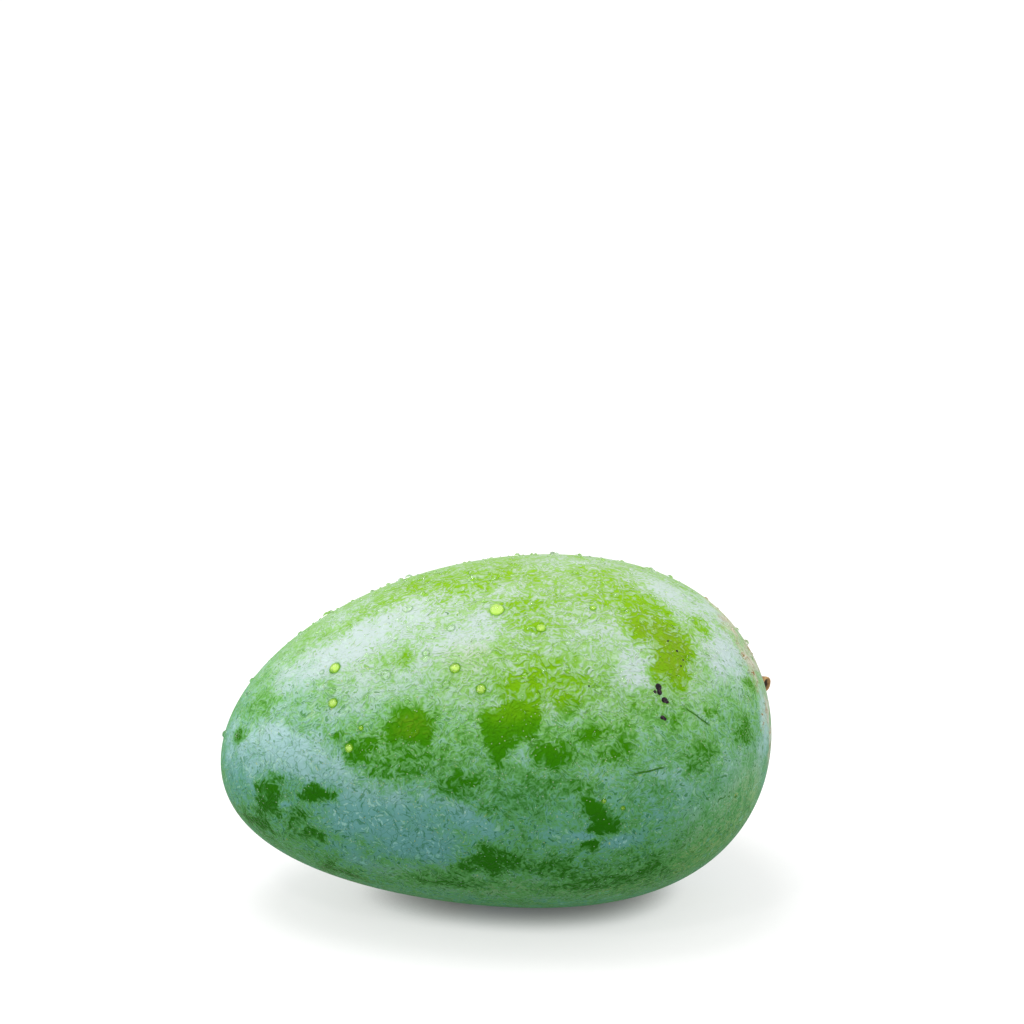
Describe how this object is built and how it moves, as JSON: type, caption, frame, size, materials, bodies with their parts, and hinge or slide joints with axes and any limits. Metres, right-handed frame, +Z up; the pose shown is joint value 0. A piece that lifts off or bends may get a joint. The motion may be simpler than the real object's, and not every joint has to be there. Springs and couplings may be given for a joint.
{
  "type": "mango",
  "caption": "Whole green mango lying on its cheek, egg-shaped and fuller at the stem end, with waxy bloom on the peel and a short dry stem stub.",
  "frame": {"origin": "middle of the flat spot that the fruit lies on", "axes": "+Z up, +X along the fruit towards its stem end, +Y across it"},
  "size_m": [0.1422, 0.0976, 0.0877],
  "materials": {
    "skin": "leathery green peel under a pale waxy bloom that is rubbed through in patches",
    "stub": "dry brown stalk, rough, with a darker hollow at its snapped end"
  },
  "bodies": {
    "root": {"fruit": "skin", "stem_stub": "stub"}
  },
  "joints": []
}
